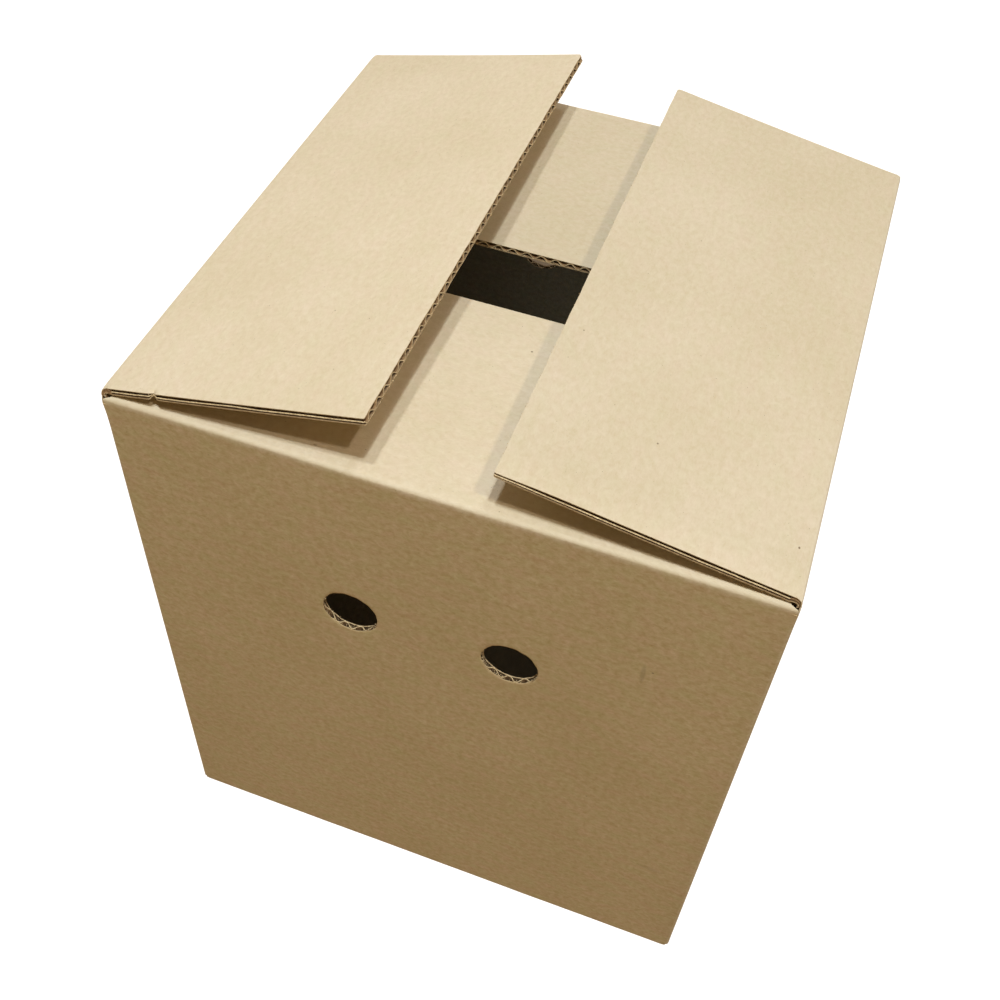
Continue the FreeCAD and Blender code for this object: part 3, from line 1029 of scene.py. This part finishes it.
def makeCreaseEnd(name, sign):
    # broken fluting that closes the end of a crease
    edges = []
    for layer in ("Outer", "Inner"):
        depth, pull, begin, first = crease["layers"][layer]
        columns = np.array((sign * outerHalf, 0.0))
        edges.append(creasePoints(name, columns, np.full(2, depth), pull, begin, first)[:, 0])
    share = np.linspace(*crease["capShare"], 9)[None, :, None]
    points = edges[0][:, None] * (1 - share) + edges[1][:, None] * share
    rough = np.array([[noise.noise(Vector(p) * 1400) for p in row] for row in points])
    least, more, uneven = crease["capInset"]
    inset = least + more * np.sin(math.pi * share[..., 0]) + uneven * rough
    points = points - panels[name]["heading"] * (sign * inset)[..., None]
    faceOut = (sign > 0) != (name == "left")
    sheet = newSheet()
    places = (0.0, outerFlaps["blankStart"], thickness / 2)
    addGrid(sheet, points if faceOut else points[:, ::-1], places)
    cap = sheetObject(f"{name}CreaseEnd{'High' if sign > 0 else 'Low'}", sheet, crease["capWall"])
    return cap, edges[0][0], edges[0][-1]


def asMedium(piece):
    for slot in range(3):
        piece.data.materials[slot] = mediumMaterial


for name in ("left", "right"):
    values, panel = outerFlaps[name], panels[name]
    for sign in (-1, 1):
        cap, first, last = makeCreaseEnd(name, sign)
        asMedium(cap)
        first, last = tuple(first * (1, 0, 1)), tuple(last * (1, 0, 1))
        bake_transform(cap)
    for layer, (depth, pull, begin, first) in crease["layers"].items():
        isCore = layer == "Core"
        ends = [sign * (outerHalf - inset) for sign in (-1, 1) for inset in (0.001, 0.002)]
        step = board["flutePitch"] / 8 if isCore else meshing["outerFlap"][0]
        columns = steps(-outerHalf, outerHalf, step, ends)
        wave = crease["coreWave"] * np.cos(2 * math.pi * columns / board["flutePitch"])
        depths = depth + (wave if isCore else 0 * columns)
        points = creasePoints(name, columns, depths, pull, begin, first)
        rows = np.linspace(begin, outerFlaps["blankStart"] + first, crease["rows"])
        sheet = newSheet()
        # paler along the crease: rubbed paper and a painted highlight
        rubbedAndHighlit = np.sin(math.pi * np.linspace(0, 1, crease["rows"]))[:, None] ** 4
        addGrid(sheet, points, (columns + panel["blankStart"], rows[:, None], depth), wearAndHighlight=rubbedAndHighlit)
        wall = crease["coreThickness"] if isCore else board["liner"]
        strip = sheetObject(name + "Crease" + layer, sheet, wall, faceIn=layer == "Inner")
        if isCore:
            asMedium(strip)
        middle = len(columns) // 2
        first, last = tuple(points[0, middle] * (1, 0, 1)), tuple(points[-1, middle] * (1, 0, 1))
        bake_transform(strip)
print("creases ready")

# ---- torn bits of paper along the cut edges, scattered in Geometry Nodes

tornBits = {
    "size": 0.00044,
    "spacing": 0.0012,
    "share": 0.55,
    "jitter": 0.00022,
    "shapes": ((0.7, 0.35, 0.18), (1.5, 0.8, 0.35)),  # least and most stretch of a bit
    "seeds": (31, 37),  # for the carton and for the flaps
    "rimDepths": (0.0006, 0.0017, 0.0031),
    "rimInset": 0.00005,
    "nickDepths": (0.0012, 0.0020, 0.0028),
    "edgeInset": (0.0001, 0.0006),  # from a flap's free edge and from its inner face
}


def makeBitsTree():
    tree, given = newTree("tornBits", (
        ("Geometry", "Geometry"), ("Size", "Float"), ("Spacing", "Float"), ("Share", "Float"),
        ("Jitter", "Vector"), ("Seed", "Int"), ("Material", "Material")))

    def randomVector(low, high, extra):
        seed = addNode(tree, "FunctionNodeIntegerMath", {0: given["Seed"], 1: extra}).outputs[0]
        values = {0: low, 1: high, "Seed": seed}
        return addNode(tree, "FunctionNodeRandomValue", values, data_type="FLOAT_VECTOR").outputs[0]

    line = addNode(tree, "GeometryNodeMeshToCurve", {0: given["Geometry"]}).outputs[0]
    values = {"Curve": line, "Length": given["Spacing"]}
    points = addNode(tree, "GeometryNodeCurveToPoints", values, mode="LENGTH").outputs["Points"]
    chance = addNode(tree, "ShaderNodeSeparateXYZ", {0: randomVector((0, 0, 0), (1, 1, 1), 1)}).outputs[0]
    values = {0: chance, 1: given["Share"]}
    drop = addNode(tree, "FunctionNodeCompare", values, operation="GREATER_THAN").outputs[0]
    thin = addNode(tree, "GeometryNodeDeleteGeometry", {"Geometry": points, "Selection": drop}).outputs[0]
    values = {0: given["Jitter"], "Scale": -1.0}
    back = addNode(tree, "ShaderNodeVectorMath", values, operation="SCALE").outputs[0]
    values = {"Geometry": thin, "Offset": randomVector(back, given["Jitter"], 2)}
    shift = addNode(tree, "GeometryNodeSetPosition", values).outputs[0]
    bit = addNode(tree, "GeometryNodeMeshIcoSphere", {"Radius": given["Size"], "Subdivisions": 1})
    values = {"Points": shift, "Instance": bit.outputs["Mesh"],
              "Rotation": randomVector((-3.1, -3.1, -3.1), (3.1, 3.1, 3.1), 3),
              "Scale": randomVector(*tornBits["shapes"], 4)}
    place = addNode(tree, "GeometryNodeInstanceOnPoints", values).outputs[0]
    return finishTree(tree, place, given["Material"])


bitsTree = makeBitsTree()


def scatterBits(name, lines, seed, body):
    points, edges = [], []
    for line in lines:
        edges += [(len(points) + i, len(points) + i + 1) for i in range(len(line) - 1)]
        points += [tuple(p) for p in line]
    mesh = bpy.data.meshes.new(name)
    mesh.from_pydata(points, edges, [])
    piece = newPiece(name, mesh)
    values = {"Size": tornBits["size"], "Spacing": tornBits["spacing"], "Share": tornBits["share"],
              "Jitter": (tornBits["jitter"],) * 3, "Seed": seed, "Material": edgeMaterial}
    addMaker(piece, "bits", bitsTree, values)
    settled(piece)
    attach(piece, body)


rings = []
turns = np.linspace(0, 2 * math.pi, 73)
radius = carton["holeDiameter"] / 2 - tornBits["rimInset"]
for name in ("front", "back"):
    for centre in holeCentres:
        for depth in tornBits["rimDepths"]:
            side, height = centre + radius * np.cos(turns), carton["holeHeight"] + radius * np.sin(turns)
            rings.append(foldedPlace(name, side, height, depth))
back, above = tornBits["edgeInset"]
sides = np.linspace(-0.1, 0.1, 41)
for name in ("front", "back"):
    rings.append(foldedPlace(name, sides, topEnd - back, thickness - above))
scatterBits("cartonTornBits", rings, tornBits["seeds"][0], "carton")
for name in ("left", "right"):
    sides = np.linspace(-0.145, 0.145, 59)
    nick = outerFlaps["nick"]
    lines = [flapPlace(name, sides, outerLength - back, thickness - above)]
    if name == nick["name"]:
        runs = nick["run"] + np.linspace(-0.003, 0.003, 9)
        side = nick["side"] * (halfDepth - 0.0017)
        lines += [flapPlace(name, side, runs, depth) for depth in tornBits["nickDepths"]]
    scatterBits(name + "FlapTornBits", lines, tornBits["seeds"][1], outerFlaps[name]["body"])
print("torn bits ready")

# ---- floor, light and camera

stage = {
    "floorSize": 12.0,
    "floorHeight": -0.0002,
    "floorPale": (0.92, 0.92, 0.92, 1),
    "floorBounce": (0.150, 0.094, 0.055, 1),
    "ambient": (1.0, 0.71, 0.47, 1),
    "ambientStrength": 0.165,
    "lampDistance": 2.4,
    "lamps": [  # direction towards the lamp, light that it gives a level face, width in degrees
        ((0.45, -0.43, 1.0), (0.178, 0.162, 0.145), 3.0),
        ((0.17, -0.33, 1.0), (0.338, 0.384, 0.438), 2.4),
        ((0.01, -0.27, 1.0), (0.288, 0.322, 0.378), 3.2),
        ((0.20, 0.25, 1.0), (0.110, 0.120, 0.150), 6.0),
        ((0.15, -0.93, 0.33), (0.0100, 0.0100, 0.0018), 40.0),
        ((-0.10, 0.98, 0.12), (0.023, 0.022, 0.018), 30.0),
        ((-0.98, -0.10, 0.10), (0.015, 0.0145, 0.012), 30.0),
    ],
    "insideLamp": {"place": (0.0, 0.06, 0.20), "power": 0.0230, "colour": (0.58, 0.74, 1.0),
                   "radius": 0.03},
    "floorLamp": {"azimuth": 14.5, "elevation": 42.5, "strength": 5.8, "softness": 5.0},
}


def twoLooks(tree, kind, usual, straight, output):
    # straight: where the camera looks or a gloss reflects; usual: for all other light
    rays = addNode(tree, "ShaderNodeLightPath").outputs
    values = {0: mathOf(tree, "MAXIMUM", rays["Is Camera Ray"], rays["Is Glossy Ray"]),
              1: addNode(tree, kind, usual).outputs[0], 2: addNode(tree, kind, straight).outputs[0]}
    mix = addNode(tree, "ShaderNodeMixShader", values)
    addNode(tree, output, {"Surface": mix.outputs[0]})


def makeFloor():
    half, low = stage["floorSize"], stage["floorHeight"]
    mesh = bpy.data.meshes.new("floor")
    corners = [(-half, -half, low), (half, -half, low), (half, half, low), (-half, half, low)]
    mesh.from_pydata(corners, [], [(0, 1, 2, 3)])
    floor = newPiece("floor", mesh)
    material, tree = newMaterial("paleFloor")
    twoLooks(tree, "ShaderNodeBsdfDiffuse", {"Color": stage["floorBounce"]}, {"Color": stage["floorPale"]},
             "ShaderNodeOutputMaterial")
    mesh.materials.append(material)
    return floor


def makeWorld():
    world = bpy.data.worlds.new("softRoom")
    scene.world = world
    world.use_nodes = True
    world.node_tree.nodes.clear()
    room = {"Color": stage["ambient"], "Strength": stage["ambientStrength"]}
    white = {"Color": (1, 1, 1, 1)}
    twoLooks(world.node_tree, "ShaderNodeBackground", room, white, "ShaderNodeOutputWorld")


def makeLamp(name, kind, place, target, power, colour, receivers):
    lamp = bpy.data.lights.new(name, kind)
    lamp.energy = power
    lamp.color = colour
    holder = newPiece(name, lamp)
    holder.location = place
    holder.rotation_euler = (Vector(target) - Vector(place)).to_track_quat("-Z", "Y").to_euler()
    holder.light_linking.receiver_collection = receivers
    return lamp


floor = makeFloor()
makeWorld()
# the floor has a lamp of its own, and the other lamps leave it out
onlyFloor, notFloor = bpy.data.collections.new("onlyFloor"), bpy.data.collections.new("notFloor")
onlyFloor.objects.link(floor)
notFloor.objects.link(floor)
notFloor.collection_objects[0].light_linking.link_state = "EXCLUDE"
target = Vector((0, 0, cartonHigh.z))
distance = stage["lampDistance"]
for index, (direction, share, width) in enumerate(stage["lamps"]):
    direction = Vector(direction).normalized()
    most = max(share)
    power = most / direction.z * math.pi ** 2 * distance ** 2
    colour, place = [c / most for c in share], target + direction * distance
    lamp = makeLamp(f"softLamp{index}", "AREA", place, target, power, colour, notFloor)
    lamp.shape = "DISK"
    lamp.size = 2 * distance * math.tan(math.radians(width / 2))
light = stage["insideLamp"]  # the faint glow of a pale room in the box
lamp = makeLamp("insideLamp", "POINT", light["place"], (0, 0, 0), light["power"], light["colour"], notFloor)
lamp.shadow_soft_size = light["radius"]
light = stage["floorLamp"]
turn, rise = math.radians(light["azimuth"]), math.radians(light["elevation"])
place = Vector((math.sin(turn) * math.cos(rise), -math.cos(turn) * math.cos(rise), math.sin(rise))) * 4
lamp = makeLamp("floorLamp", "SUN", place, (0, 0, 0), light["strength"], (1, 1, 1), onlyFloor)
lamp.angle = math.radians(light["softness"])

camera = {
    "place": (0.11938, -0.45878, 0.74491),
    "forward": (-0.20156, 0.63631, -0.74463),
    "right": (0.93934, 0.34099, 0.03712),
    "lens": 44.581,
    "shift": (0.01731, -0.04262),
}
lens = bpy.data.cameras.new("camera")
lens.lens = camera["lens"]
lens.sensor_width = 36.0
lens.shift_x, lens.shift_y = camera["shift"]
lens.clip_start = 0.01
holder = newPiece("camera", lens)
forward = Vector(camera["forward"]).normalized()
upward = Vector(camera["right"]).cross(forward).normalized()
right = forward.cross(upward)
turn = Matrix((right, upward, -forward)).transposed()
holder.matrix_world = Matrix.Translation(Vector(camera["place"])) @ turn.to_4x4()
scene.camera = holder
scene.view_settings.view_transform = "Standard"
print("stage ready")
